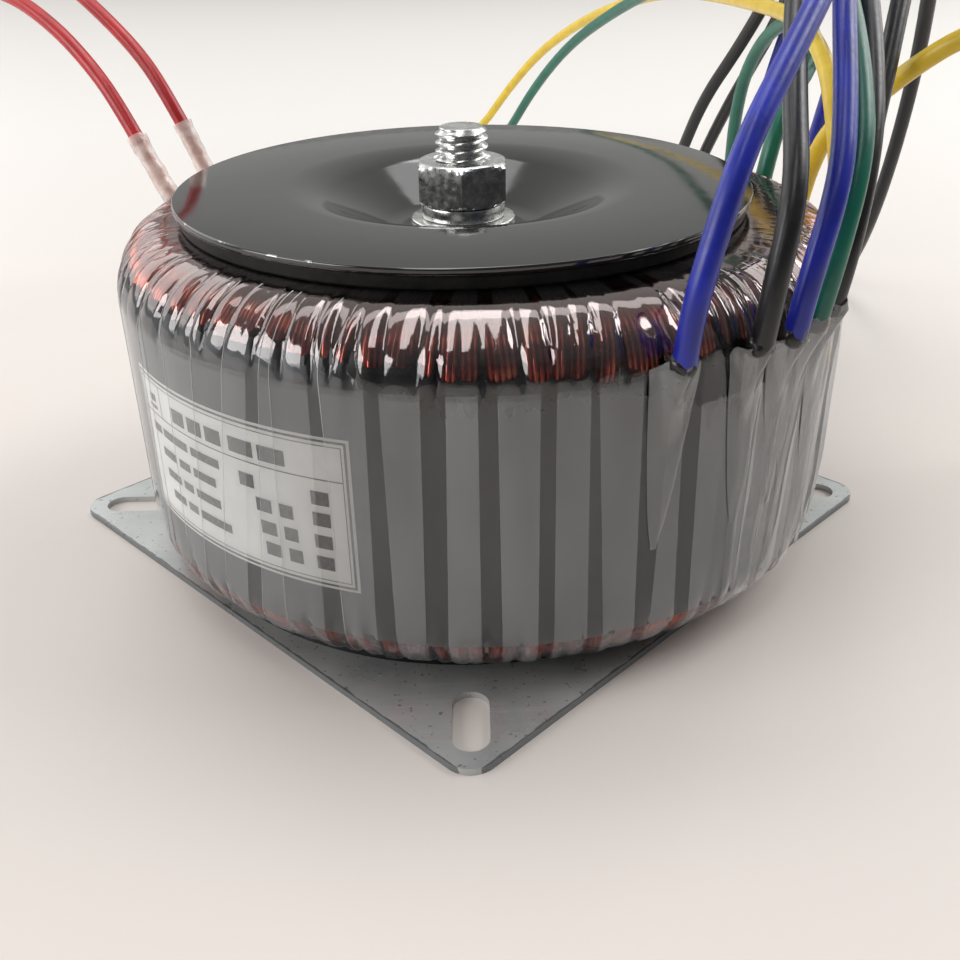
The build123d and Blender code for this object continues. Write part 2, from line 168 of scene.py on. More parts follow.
sheaths = {
    "blue": vinyl("blue_vinyl", (0.010, 0.022, 0.36), (0.006, 0.013, 0.22)),
    "black": vinyl("black_vinyl", (0.010, 0.010, 0.011), (0.006, 0.006, 0.007)),
    "green": vinyl("green_vinyl", (0.004, 0.150, 0.095), (0.003, 0.105, 0.066)),
    "yellow": vinyl("yellow_vinyl", (0.84, 0.60, 0.045), (0.70, 0.47, 0.030)),
    "red": vinyl("red_vinyl", (0.52, 0.012, 0.016), (0.38, 0.008, 0.012)),
}
lead_diameter = 3.0
red_lead_diameter = 2.4
lead_routes = {
    "blue_a": [
        (25.5, -51.9, 47.6), (25.6, -53, 54), (28.4, -50.8, 64), (31.5, -47, 72), (37, -39.5, 79),
        (44, -28.5, 87), (50, -15, 95.5), (56, 2, 103), (62, 22, 107), (67, 43, 105), (71, 62, 98),
        (73.5, 79, 87), (74.5, 93, 74), (74, 104, 60.5), (73.6, 113, 47), (74, 122, 33), (75.5, 131, 19.5),
        (78, 142, 8), (81, 155, 1.5), (84, 170, 1.5),
    ],
    "black_a": [
        (35.8, -46, 47.4), (36.2, -46.8, 54), (38.5, -43.5, 65.3), (40, -33, 73), (42, -21.5, 82),
        (46, -6, 90.5), (52, 14, 97), (59, 37, 99.5), (65, 60, 96), (68.5, 80, 86), (68.5, 96, 73.5),
        (65.5, 108.5, 61), (60.5, 120, 47.5), (58, 130, 33.5), (56, 140, 19), (54, 152, 7), (52, 166, 1.5),
        (50, 181, 1.5),
    ],
    "blue_b": [
        (40.9, -41.8, 46.9), (41.4, -42.7, 53.6), (44.9, -39, 65.3), (46.7, -31, 73.2), (48.4, -20.5, 81.7),
        (51.5, -7, 90), (56, 5, 96.5), (62, 17, 98), (67.5, 29.5, 90.5), (69.5, 39, 77), (69.5, 47, 62),
        (69.3, 54, 48.5), (70, 62, 34.5), (72, 71, 20.5), (75, 82, 8.5), (78.5, 96, 1.5), (81, 111, 1.5),
    ],
    "green_a": [
        (44.6, -37.8, 47.3), (45.5, -38.7, 54.3), (48.8, -34, 66.7), (50.3, -25, 74.2), (51.6, -12.5, 81.7),
        (54, 3.5, 85.9), (57, 28, 87.5), (57.5, 50, 86), (57, 76, 82), (55, 105, 77.5), (51.5, 135, 73),
        (44, 168, 64.5), (33, 200, 51.5), (23, 224, 34.5), (14.5, 241, 16.5), (7, 257, 4), (-1, 273, 1.5),
        (-10, 289, 1.5),
    ],
    "black_b": [
        (47.8, -33.4, 47.6), (48.7, -34.6, 55.2), (51.8, -28, 67.7), (53.7, -18.5, 75.5),
        (55.8, -5.5, 83.5), (58.5, 10, 89.4), (61.6, 29, 92.2), (68, 60, 89.5), (70.5, 79, 81),
        (71, 95, 69.5), (69.8, 110, 57.5), (67, 121, 45.5), (64.5, 131, 33), (62.5, 141, 20),
        (61, 152.5, 8), (60, 166, 1.5), (59, 181, 1.5),
    ],
    "black_c": [
        (59.1, -5, 46.5), (59.9, -5, 52.5), (60.5, -3, 63.5), (63, 2, 71), (66, 9, 79), (70, 18, 87),
        (76, 30, 92), (83, 44, 90), (89, 57, 79), (93, 68, 61), (95, 78, 41), (96, 89, 22), (97, 103, 7),
        (97, 119, 1.5), (96, 134, 1.5),
    ],
    "yellow_a": [
        (59, 5.9, 46.5), (59.9, 6.1, 53.2), (59, 11, 64), (60, 22, 70), (61, 40, 73.5), (62.5, 62, 73.5),
        (61.5, 88, 73), (59.5, 118, 72), (56, 150, 70), (50.5, 186, 65), (40, 221, 56.5), (27, 249, 43.5),
        (15.5, 269, 27), (6, 284, 11), (-3, 299, 1.5), (-12, 313, 1.5),
    ],
    "yellow_b": [
        (56.8, 16.6, 46.5), (57.6, 16.8, 52.5), (60, 15, 60.8), (64.6, 11, 65.3), (68.8, 6.5, 71),
        (74, 2, 76), (81, -2, 78.5), (90, -4, 77), (98, -4, 70), (103.5, -3, 59), (107, -1, 45),
        (109.5, 3, 30), (112.5, 9, 16), (117, 18, 5), (122.5, 29, 1.5), (127, 41, 1.5),
    ],
    "green_b": [
        (52.7, 26.7, 46.5), (53.4, 27, 52.5), (56.5, 31, 61.5), (62, 38, 66), (66, 49, 69.5),
        (68, 63, 71.5), (68, 77, 70.5), (66.8, 90, 65.5), (65.8, 101, 56.5), (66.3, 109, 45), (68, 117, 32),
        (70, 126, 18.5), (72, 138, 7), (74, 152, 1.5), (75, 167, 1.5),
    ],
    "red_a": [
        (-52.7, 15.2, 60.2), (-56, 18, 65.7), (-60.5, 22, 71), (-67.5, 28.5, 76.5), (-77, 37, 81),
        (-89, 48, 82), (-102, 60, 77), (-113, 70, 66), (-124, 76, 52), (-132, 80, 36), (-138, 84, 20),
        (-143, 91, 7), (-148, 102, 1.2), (-153, 114, 1.2),
    ],
    "red_b": [
        (-47.7, 25.9, 60.2), (-50.8, 28, 66), (-55, 32, 71.3), (-61.5, 38, 76.5), (-70, 47, 81.5),
        (-81, 58, 84.5), (-94, 69, 83), (-106, 79, 76), (-116, 87, 65), (-124, 93, 51), (-131, 98, 35.5),
        (-137, 103, 20), (-142, 111, 7.5), (-147, 123, 1.2), (-152, 135, 1.2),
    ],
}


def route_curve(name, points, thickness, resolution=10):
    """A smooth curve along a route, thickened to a round section."""
    curve = bpy.data.curves.new(name, "CURVE")
    curve.dimensions = "3D"
    curve.resolution_u = resolution
    spline = curve.splines.new("NURBS")
    spline.points.add(len(points) - 1)
    for control, point in zip(spline.points, points):
        control.co = (*(Vector(point) * mm), 1)
    spline.order_u = 3
    spline.use_endpoint_u = True
    curve.bevel_depth = thickness / 2 * mm
    curve.bevel_resolution = 5
    curve.use_fill_caps = True
    thing = bpy.data.objects.new(name, curve)
    bpy.context.scene.collection.objects.link(thing)
    return thing


def lead_thickness(lead_name):
    return red_lead_diameter if "red" in lead_name else lead_diameter


lead_curves = {}
for lead_name, points in lead_routes.items():
    colour = lead_name.split("_")[0]
    lead = route_curve("sheath_" + lead_name, points, lead_thickness(lead_name))
    lead.data.materials.append(sheaths[colour])
    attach(lead, "root")
    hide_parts("lead_" + lead_name)
    lead_curves[lead_name] = lead


# Stripped ends: the last millimetres of each lead are bared, twisted and
# dipped in solder.
def add_piece(name, shape, finish, slot_name, *stands_for, crease=40):
    """Puts a finished shape in the scene as a piece with one finish."""
    mesh = bpy.data.meshes.new(name)
    shape.normal_update()
    shape.to_mesh(mesh)
    shape.free()
    mesh.shade_smooth()
    mesh.set_sharp_from_angle(angle=radians(crease))
    mesh.materials.append(finish)
    piece = bpy.data.objects.new(name, mesh)
    bpy.context.scene.collection.objects.link(piece)
    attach(piece, "root")
    if stands_for:
        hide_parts(*stands_for)
    return piece


strip_length = 6.0
strand_twist = 0.9
strand_share = 0.55
strand_taper = 0.8
tinned, tinned_tree, tinned_shader, tinned_place = mottled(
    "tinned_strands", 1.1, (0.40, 0.39, 0.37), (0.72, 0.71, 0.69), Metallic=1.0, Roughness=0.3
)
raise_surface(tinned_tree, tinned_shader, grain(tinned_tree, tinned_place, 2.5), 0.04)

strip_rows = 14
for lead_name, points in lead_routes.items():
    last = Vector(points[-1])
    heading = (last - Vector(points[-2])).normalized()
    radius = lead_thickness(lead_name) / 2 * strand_share * mm
    shape = bmesh.new()
    bmesh.ops.create_cone(
        shape, cap_ends=True, segments=24, radius1=radius, radius2=radius * strand_taper, depth=strip_length * mm
    )
    side_edges = [
        edge for edge in shape.edges
        if abs(edge.verts[0].co.z - edge.verts[1].co.z) > strip_length / 2 * mm
    ]
    bmesh.ops.subdivide_edges(shape, edges=side_edges, cuts=strip_rows)
    for vertex in shape.verts:
        bearing = atan2(vertex.co.y, vertex.co.x)
        lobe = 1 + 0.09 * cos(7 * (bearing + strand_twist * vertex.co.z / mm))
        vertex.co.x *= lobe
        vertex.co.y *= lobe
    turn = Vector((0, 0, 1)).rotation_difference(heading).to_matrix().to_4x4()
    middle = (last + heading * strip_length / 2) * mm
    bmesh.ops.transform(shape, matrix=Matrix.Translation(middle) @ turn, verts=shape.verts)
    add_piece(
        "strand_" + lead_name, shape, tinned, "tinned_strand", "lead_" + lead_name + "_end"
    )


# Sleeves: clear tube shrunk over the two joints of the primary leads, where the
# enamelled wire of the winding meets the red lead.
def drawn_shape(thing):
    """The finished shape of a curve, which is then removed."""
    mesh = bpy.data.meshes.new_from_object(thing)
    shape = bmesh.new()
    shape.from_mesh(mesh)
    bpy.data.objects.remove(thing)
    bpy.data.meshes.remove(mesh)
    return shape


def mix_shaders(tree, share, first, second):
    """Two shaders mixed by a share."""
    mix = tree.nodes.new("ShaderNodeMixShader")
    for socket, value in zip(mix.inputs, (share, first, second)):
        tree.links.new(value, socket)
    return mix.outputs[0]


sleeve_routes = {
    "a": [(-48.2, 13.3, 51.8), (-51.2, 14.2, 57.2), (-53.2, 15.6, 61.2)],
    "b": [(-44.0, 24.0, 51.8), (-46.4, 25.2, 57.2), (-48.2, 26.2, 61.2)],
}
sleeve_thickness = 3.3
joint_thickness = 1.5
sleeve_clear, sleeve_tree, sleeve_shader, sleeve_place = mottled(
    "clear_sleeve", 0.35, (0.88, 0.68, 0.60), (0.95, 0.88, 0.84), Roughness=0.18, Coat_Weight=0.6
)
raise_surface(sleeve_tree, sleeve_shader, grain(sleeve_tree, sleeve_place, 0.7), 0.2)
sleeve_see = sleeve_tree.nodes.new("ShaderNodeBsdfTransparent")
sleeve_cloud = shades(sleeve_tree, grain(sleeve_tree, sleeve_place, 0.5), [(0.35, 0.45), (0.7, 0.85)])
sleeve_tree.links.new(
    mix_shaders(sleeve_tree, sleeve_cloud, sleeve_see.outputs[0], sleeve_shader.outputs[0]),
    sleeve_tree.nodes["Material Output"].inputs["Surface"],
)

joint_metal = mottled(
    "soldered_joint", 0.5, (0.42, 0.09, 0.04), (0.75, 0.38, 0.26), spread=(0.35, 0.65), Metallic=0.8, Roughness=0.3
)[0]

for letter, points in sleeve_routes.items():
    thing = route_curve("sleeve_line", points, sleeve_thickness)
    for control, swell in zip(thing.data.splines[0].points, (1.0, 0.82, 1.0)):
        control.radius = swell
    thing.data.use_fill_caps = False
    shape = drawn_shape(thing)
    bmesh.ops.recalc_face_normals(shape, faces=shape.faces)
    shape.normal_update()
    for vertex in shape.verts:
        vertex.co += vertex.normal * 0.16 * mm * noise.noise(vertex.co / mm * 0.7)
    add_piece(
        "clear_sleeve_" + letter, shape, sleeve_clear, "sleeve", "lead_sleeve_" + letter, crease=80
    )
    joint_points = [Vector(points[0]) * 0.985, Vector(points[1]), Vector(points[2]) * 0.99]
    shape = drawn_shape(route_curve("joint_line", joint_points, joint_thickness))
    add_piece("soldered_joint_" + letter, shape, joint_metal, "copper")

# Cords: a centre line is drawn along each lead's route and then freed.
for lead_name, lead in lead_curves.items():
    line = drawn_shape(route_curve("centre_line", lead_routes[lead_name], 0))
    line.free()

# Winding: bunches of enamelled copper wire laid side by side over the ring, seen
# at its upper and lower shoulders through the film.
def axes_of(tree, place):
    """The three coordinates of a place, as sockets."""
    split = tree.nodes.new("ShaderNodeSeparateXYZ")
    tree.links.new(place, split.inputs[0])
    return split.outputs


ring_radius = 55.0
bore_radius = 19.5
ring_low = 3.0
ring_high = 53.8
shoulder = 9.0
shoulder_radius = ring_radius - shoulder
ring_offset = 2.5
wire_thickness = 0.72
wire_depth = 0.95
chance = Random(7)

wire_crown = 0.25
gap_rise = -0.55
enamel, enamel_tree, enamel_shader = new_finish("enamelled_copper")
enamel_place = object_place(enamel_tree)
# Towards the top of the winding, under the clamp plate, the enamel's colour is darkened to near black: painted
# shade.
plate_shade_share = reckon(enamel_tree, "MULTIPLY_ADD", axes_of(enamel_tree, enamel_place)[2], 0.25, -12.6)
enamel_tint = shades(
    enamel_tree,
    grain(enamel_tree, enamel_place, 0.35, 4.0),
    [(0.3, (0.18, 0.020, 0.010)), (0.5, (0.60, 0.070, 0.032)), (0.72, (0.95, 0.26, 0.11))],
)
enamel_tree.links.new(
    blend_colours(
        enamel_tree,
        shades(enamel_tree, plate_shade_share, [(0.40, 0.0), (0.68, 0.95)]),
        enamel_tint,
        (0.004, 0.003, 0.003),
    ),
    enamel_shader.inputs["Base Color"],
)
enamel_shader.inputs["Metallic"].default_value = 0.65
enamel_shader.inputs["Roughness"].default_value = 0.22
enamel_shader.inputs["Coat Weight"].default_value = 1.0
enamel_shader.inputs["Coat Roughness"].default_value = 0.15


def shoulder_path(bearing, lean, depth, upper):
    """Route of one turn over a shoulder, from under the pad to under the band."""
    bend_radius = shoulder - depth
    stations = [(30.0, bend_radius), (38.0, bend_radius), (44.0, bend_radius)]
    for slope, sunk in ((78, 0), (66, 0), (54, 0), (42, 0.05), (30, 0.25), (18, 0.3), (4, 0.45)):
        stations.append((
            shoulder_radius + (bend_radius - sunk) * cos(radians(slope)),
            (bend_radius - sunk) * sin(radians(slope)),
        ))
    path = []
    for step, (radius, rise) in enumerate(stations):
        angle = radians(bearing + lean * (step / (len(stations) - 1) - 0.5))
        height = ring_high - shoulder + rise if upper else ring_low + shoulder - rise
        path.append(Vector((radius * cos(angle) + ring_offset, radius * sin(angle), height)) * mm)
    return path


relief_cells = 1440
relief_steps = 10
turns = bpy.data.curves.new("turns", "CURVE")
turns.dimensions = "3D"
turns.bevel_depth = wire_thickness / 2 * mm
turns.bevel_resolution = 1
wire_step = degrees(wire_thickness / ring_radius)
# Each bunch: its first and last bearing, its lean, and how far it stands proud.
bunches = []
bearing = -180.0
while bearing < 178.5:
    width = wire_step * chance.randint(2, 6)
    lean = chance.uniform(-2.0, 2.0)
    bunches.append((bearing, bearing + width, lean, chance.choice((0.0, 0.1, 0.2, 0.3))))
    bearing += width + chance.choice((0.25, 0.5, 0.8, 1.3))


def relief_cell(bearing):
    """Where a bearing falls in a row of the relief."""
    return (bearing + 180) * relief_cells / 360


def bunch_relief(share):
    """How proud the bunches stand by bearing, at a share of the way over a shoulder."""
    rises = [gap_rise] * relief_cells
    for first, last, lean, proud in bunches:
        start = round(relief_cell(first + lean * (share - 0.5)))
        steps = round((last - first) * relief_cells / 360)
        for step in range(steps + 1):
            rises[(start + step) % relief_cells] = proud + wire_crown * sin(pi * (step / steps)) ** 0.5 - 0.2
    return rises


relief_rows = [bunch_relief(row / relief_steps) for row in range(relief_steps + 1)]
for upper in (True, False):
    for first, last, lean, proud in bunches:
        wires = round((last - first) / wire_step)
        for wire in range(wires):
            crown = sin(pi * (wire + 0.5) / wires) * wire_crown
            depth = wire_depth + 0.2 - proud - crown - chance.uniform(0, 0.08)
            path = shoulder_path(first + (wire + 0.5) * wire_step, lean, depth, upper)
            spline = turns.splines.new("POLY")
            spline.points.add(len(path) - 1)
            for control, point in zip(spline.points, path):
                control.co = (*point, 1)
turns_thing = bpy.data.objects.new("turns", turns)
bpy.context.scene.collection.objects.link(turns_thing)
add_piece("winding_turns", drawn_shape(turns_thing), enamel, "copper", crease=80)


def paint_nodes(finish, *node_names):
    """Gives solids carried over from CAD their finish."""
    for node_name in node_names:
        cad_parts[node_name].data.materials.clear()
        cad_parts[node_name].data.materials.append(finish)


# The solids carried over from CAD show in the gaps between the bunches; their enamel is painted dark there as
# painted shade.
gap_shade_enamel = mottled(
    "shaded_enamel", 0.6, (0.05, 0.010, 0.006), (0.16, 0.030, 0.016), Metallic=0.6, Roughness=0.4
)[0]
paint_nodes(
    gap_shade_enamel, "secondary_winding_high", "secondary_winding_mid", "secondary_winding_low", "primary_winding"
)

# Inside: insulating tape between the windings, and a core of wound steel strip.
# The winding closes them in on every side.
cream = mottled("insulating_tape", 0.3, (0.66, 0.58, 0.40), (0.76, 0.70, 0.54), Roughness=0.5)[0]
paint_nodes(cream, "core_insulation", "primary_insulation", "secondary_insulation")
core_steel = mottled(
    "wound_core_steel", 2.0, (0.22, 0.23, 0.24), (0.40, 0.41, 0.43), stretch=(1, 1, 0.1),
    Metallic=1.0, Roughness=0.45,
)[0]
paint_nodes(core_steel, "core")


# Shield band: grey silicon steel strip wrapped round the wall under the film; its
# upper edge lies on the winding and is cut unevenly.
def on_wall(bearing, height, radius):
    """A point on the ring's upright wall, in metres."""
    return Vector((radius * cos(radians(bearing)) + ring_offset, radius * sin(radians(bearing)), height)) * mm


def wrapped_grid(columns, rows, place):
    """A grid sheet, each corner put in its place by its shares across and up."""
    shape = bmesh.new()
    bmesh.ops.create_grid(shape, x_segments=columns, y_segments=rows, size=0.5)
    for vertex in shape.verts:
        vertex.co = place(vertex.co.x + 0.5, vertex.co.y + 0.5)
    return shape


def reading(table, place):
    """The value of a table of places and values, joined by straight lines."""
    for (start, low), (end, high) in zip(table, table[1:]):
        if start <= place <= end:
            return low + (high - low) * (place - start) / (end - start)
    return table[-1][1]


band_inset = 0.44
band_low = 9.8
band_jag = 0.5
band_press = 1.8
band_top = [
    (-180, 48.4), (-151, 49.7), (-143, 49.9), (-121, 50.0), (-108, 48.3), (-98, 47.3), (-90, 46.8),
    (-71, 46.0), (-50, 45.6), (-25, 45.3), (0, 46.0), (90, 47.0), (180, 48.0),
]


def over_shoulder(bearing, height, inset):
    """A point on the wall, or on the upper shoulder where it bends in."""
    rise = max(0.0, height - (ring_high - shoulder))
    return on_wall(bearing, height, shoulder_radius + ((shoulder - inset) ** 2 - rise ** 2) ** 0.5)


def band_edge(bearing):
    """Height of the band's upper edge, which the bunches press down here and there."""
    jag = noise.noise(Vector((cos(radians(bearing)) * 9, sin(radians(bearing)) * 9, 1.5)))
    press = relief_rows[8][round(relief_cell(bearing)) % relief_cells]
    return reading(band_top, bearing) + band_jag * jag - band_press * press


def band_place(across, up):
    """A point of the band by its shares across and up; its rows crowd towards the top."""
    bearing = 360 * across - 180
    top = band_edge(bearing)
    return over_shoulder(bearing, band_low + (top - band_low) * up ** 0.5, band_inset)


band_steel = mottled(
    "shield_steel", 0.12, (0.105, 0.110, 0.114), (0.140, 0.145, 0.149), 6.0, stretch=(1, 1, 0.25),
    Metallic=0.35, Roughness=0.5,
)[0]
band_columns = 1080
shape = wrapped_grid(band_columns, 13, band_place)
bmesh.ops.remove_doubles(shape, verts=shape.verts, dist=0.001 * mm)
bmesh.ops.recalc_face_normals(shape, faces=shape.faces)
add_piece("steel_band", shape, band_steel, "band_steel", "shield_band")

# Black varnish and tape lie along the band's upper edge, torn low under the leads.
tape_reach = [
    (-180, 0.2), (-150, 0.2), (-118, 0.3), (-110, 0.8), (-101, 2.4), (-96, 3.4), (-90, 2.2), (-84, 2.6),
    (-79, 1.6), (-72, 0.8), (-67, 2.4), (-63, 4.4), (-58, 6.4), (-54, 6.0), (-51, 2.5), (-46, 1.5),
    (-30, 1.5), (0, 0.8), (180, 0.4),
]


def tape_place(across, up):
    """A point of the varnish by its shares across and up."""
    bearing = 360 * across - 180
    spot = Vector((cos(radians(bearing)), sin(radians(bearing)), 0))
    torn = noise.noise(spot * 24) + 0.6 * noise.noise(spot * 70)
    edge = band_edge(bearing)
    reach = reading(tape_reach, bearing)
    low = edge - 0.2 - reach * (1 + 0.9 * torn)
    high = edge + 0.15 + 0.25 * reach + 0.2 * torn
    return over_shoulder(bearing, low + (high - low) * up, band_inset - 0.07)


# The same black, put round the feet of the leads further on, is painted shade there.
black_tape_and_shade = mottled("black_varnish_and_shade", 0.4, (0.008, 0.008, 0.009), (0.022, 0.018, 0.017), Roughness=0.25)[0]
shape = wrapped_grid(band_columns, 4, tape_place)
bmesh.ops.recalc_face_normals(shape, faces=shape.faces)
add_piece("edge_varnish", shape, black_tape_and_shade, "pad_rubber")

# Label: white paper slipped under the film, a little askew, with a ruled frame and
# plain grey bars where a rating would be printed.
label_left = -151.2
label_right = -107.2
label_low = 17.0
label_high = 38.9
label_radius = 54.70


def label_place(across, up, lift=0.0):
    """A point of the label by its shares across and up."""
    bearing = label_left + (label_right - label_left) * across
    return on_wall(bearing, label_low + (label_high - label_low) * up, label_radius + lift)


paper = mottled("label_paper", 0.25, (0.90, 0.90, 0.88), (0.96, 0.96, 0.94), 5.0, Roughness=0.6)[0]
add_piece("paper_label", wrapped_grid(40, 16, label_place), paper, "paper", "rating_label")

ink = mottled("label_ink", 2.0, (0.11, 0.108, 0.105), (0.20, 0.195, 0.19), Roughness=0.55)[0]
line_across = 0.006
line_up = 0.011
print_lift = 0.035
# Each bar: its left, lower, right and upper edge as shares of the label.
bars = [
    (0.010, 0.018, 0.990, 0.018 + line_up * 1.3), (0.010, 0.982 - line_up * 1.3, 0.990, 0.982),
    (0.010, 0.018, 0.010 + line_across * 1.3, 0.982), (0.990 - line_across * 1.3, 0.018, 0.990, 0.982),
    (0.026, 0.052, 0.974, 0.052 + line_up * 0.5), (0.026, 0.948 - line_up * 0.5, 0.974, 0.948),
    (0.026, 0.052, 0.026 + line_across * 0.5, 0.948), (0.974 - line_across * 0.5, 0.052, 0.974, 0.948),
    (0.026, 0.725, 0.974, 0.725 + line_up * 0.7), (0.175, 0.725, 0.175 + line_across * 0.7, 0.948),
    (0.085, 0.765, 0.145, 0.790), (0.090, 0.815, 0.140, 0.865),
    (0.260, 0.765, 0.335, 0.865), (0.355, 0.765, 0.430, 0.865), (0.450, 0.765, 0.525, 0.865),
    (0.560, 0.765, 0.660, 0.865), (0.680, 0.765, 0.780, 0.865),
    (0.085, 0.600, 0.150, 0.660), (0.165, 0.600, 0.330, 0.660), (0.350, 0.600, 0.500, 0.660),
    (0.140, 0.455, 0.240, 0.515), (0.260, 0.455, 0.330, 0.515), (0.350, 0.455, 0.470, 0.515),
    (0.150, 0.310, 0.250, 0.370), (0.270, 0.310, 0.330, 0.370), (0.350, 0.310, 0.480, 0.370),
    (0.170, 0.165, 0.260, 0.225), (0.280, 0.165, 0.340, 0.225), (0.360, 0.165, 0.520, 0.225),
    (0.590, 0.560, 0.650, 0.650), (0.860, 0.560, 0.920, 0.650),
    (0.650, 0.420, 0.710, 0.510), (0.740, 0.420, 0.790, 0.510), (0.860, 0.420, 0.920, 0.510),
    (0.660, 0.270, 0.720, 0.360), (0.750, 0.270, 0.800, 0.360), (0.860, 0.270, 0.920, 0.360),
    (0.670, 0.125, 0.730, 0.215), (0.760, 0.125, 0.810, 0.215), (0.860, 0.125, 0.920, 0.215),
]
shape = bmesh.new()
for left, low, right, high in bars:
    columns = max(1, round((right - left) / 0.03))
    bar = bmesh.ops.create_grid(shape, x_segments=columns, y_segments=1, size=0.5)
    for vertex in bar["verts"]:
        across = left + (right - left) * (vertex.co.x + 0.5)
        up = low + (high - low) * (vertex.co.y + 0.5)
        vertex.co = label_place(across, up, print_lift)
add_piece("label_print", shape, ink, "paper")

# Film: clear polyester tape wound round the whole ring in overlapping turns. Each
# strip has its own tone, because some lie tight on the steel and some do not.
film_profile = [
    (bore_radius, 8.0), (bore_radius, 48.0), (24.0, 53.4), (34.0, 53.75), (41.0, 53.8), (44.0, 53.8),
]
for slope in (84, 76, 68, 60, 52, 44, 36, 28, 20, 12, 5):
    film_profile.append((
        shoulder_radius + shoulder * cos(radians(slope)),
        ring_high - shoulder + shoulder * sin(radians(slope)),
    ))
for height in (44.8, 41.0, 36.0, 31.0, 26.0, 21.0, 16.0, 12.0):
    film_profile.append((ring_radius, height))
for slope in (12, 24, 36, 48, 60, 72, 84):
    film_profile.append((
        shoulder_radius + shoulder * cos(radians(slope)),
        ring_low + shoulder - shoulder * sin(radians(slope)),
    ))
film_profile += [(44.0, ring_low), (36.0, ring_low), (24.0, 3.4), (bore_radius, 8.0)]

# Each entry is a strip's left edge at the top and the foot of the wall, and its veil.
front_strips = [
    (-147.0, -149.5, 1.1), (-145.1, -146.9, 0.7), (-138.4, -141.5, 1.0), (-131.3, -136.5, 0.8),
    (-125.1, -131.5, 1.0), (-121.0, -126.8, 0.15), (-119.0, -123.9, 0.9), (-117.5, -119.5, 0.75),
    (-112.0, -113.1, 0.1), (-110.5, -110.0, 0.9), (-104.6, -105.3, 0.1), (-102.8, -102.5, 0.95),
    (-97.7, -98.4, 0.0), (-94.6, -95.4, 0.95), (-90.8, -90.9, 0.0), (-88.5, -88.1, 1.0), (-83.3, -83.3, 0.0),
    (-81.4, -81.1, 1.0), (-77.2, -76.5, 0.1), (-76.2, -74.2, 1.0), (-70.3, -69.6, 0.0), (-66.1, -67.2, 1.0),
    (-64.5, -63.2, 0.05), (-61.7, -60.7, 1.25), (-57.0, -57.5, 1.0), (-53.4, -53.6, 1.7), (-50.5, -52.0, 2.8),
    (-45.4, -48.5, 1.5), (-41.5, -45.4, 2.8), (-37.8, -42.0, 1.6), (-33.0, -38.5, 2.6), (-29.0, -35.6, 1.4),
    (-24.0, -30.0, 2.4), (-18.0, -24.0, 1.3), (-12.0, -17.5, 2.0),
]
strips = list(front_strips)
bearing = -5.0
while bearing < 209:
    foot = bearing - chance.uniform(-1.0, 3.0)
    strips.append((bearing, foot, chance.choice((0.0, 0.1, 0.5, 0.9, 1.0, 1.0))))
    bearing += chance.uniform(2.0, 7.0)
strips.append((front_strips[0][0] + 360, front_strips[0][1] + 360, 0.5))

film_step = 0.4
strip_shares = []
for (top, foot, veil), (next_top, next_foot, _) in zip(strips, strips[1:]):
    columns = max(2, round((next_top - top) / film_step))
    for column in range(columns):
        share = column / columns
        strip_shares.append((top + (next_top - top) * share, foot + (next_foot - foot) * share, veil))
film_rows = len(film_profile) - 1
lean_top = 47.0
lean_drop = 37.0


def held(value):
    """A number kept between nought and one."""
    return min(1.0, max(0.0, value))


def strip_bearing(top, foot, height):
    """The bearing of a strip's edge at a height; it leans between its top and its foot."""
    return top + (foot - top) * held((lean_top - height) / lean_drop)


def film_bulge(bearing, height):
    """How far the film stands off: it rides over the bunches at the shoulders."""
    over = height - (ring_high - shoulder) if height > 28 else ring_low + shoulder - height
    if over < 0:
        return 0.0
    rises = relief_rows[round(relief_steps * (1 - min(1.0, over / shoulder)))]
    place = relief_cell(bearing)
    low = int(place // 1)
    before, after = rises[low % relief_cells], rises[(low + 1) % relief_cells]
    rise = before + (after - before) * (place - low)
    spot = Vector((cos(radians(bearing)), sin(radians(bearing)), 0))
    lumps = noise.noise(spot * 26 + Vector((0, 0, height * 0.02)))
    return (0.8 * rise + 0.2 * lumps) * min(1.0, over / 2.5)


def film_place(across, up):
    """A point of the film by its shares round and along its profile."""
    column = round(across * len(strip_shares)) % len(strip_shares)
    radius, height = film_profile[round(up * film_rows)]
    bearing = strip_bearing(*strip_shares[column][:2], height)
    return on_wall(bearing, height, radius + (film_bulge(bearing, height) if radius > 43 else 0))


veil_end, veil_span = 44.5, 2.0
bare_start, bare_span = 47.5, 2.5
film_shape = wrapped_grid(len(strip_shares), film_rows, film_place)
veil_layer = film_shape.faces.layers.float.new("veil")
bare_layer = film_shape.faces.layers.float.new("bare")
film_shape.faces.ensure_lookup_table()
for face in film_shape.faces:
    column = face.index % len(strip_shares)
    middle = face.calc_center_median() / mm
    face[bare_layer] = held((middle.z - bare_start) / bare_span)
    bearing = degrees(atan2(middle.y, middle.x - ring_offset))
    # Below the leads the veil is mostly cleared, so the film there shows dark: painted shade.
    shaded = 0.85 if -66 < bearing < -50 and middle.z > 39 else 0.0
    veil_fade = held((middle.z - veil_end) / veil_span)
    face[veil_layer] = strip_shares[column][2] * (1 - max(0.95 * veil_fade, shaded))
bmesh.ops.remove_doubles(film_shape, verts=film_shape.verts, dist=0.002 * mm)
bmesh.ops.recalc_face_normals(film_shape, faces=film_shape.faces)


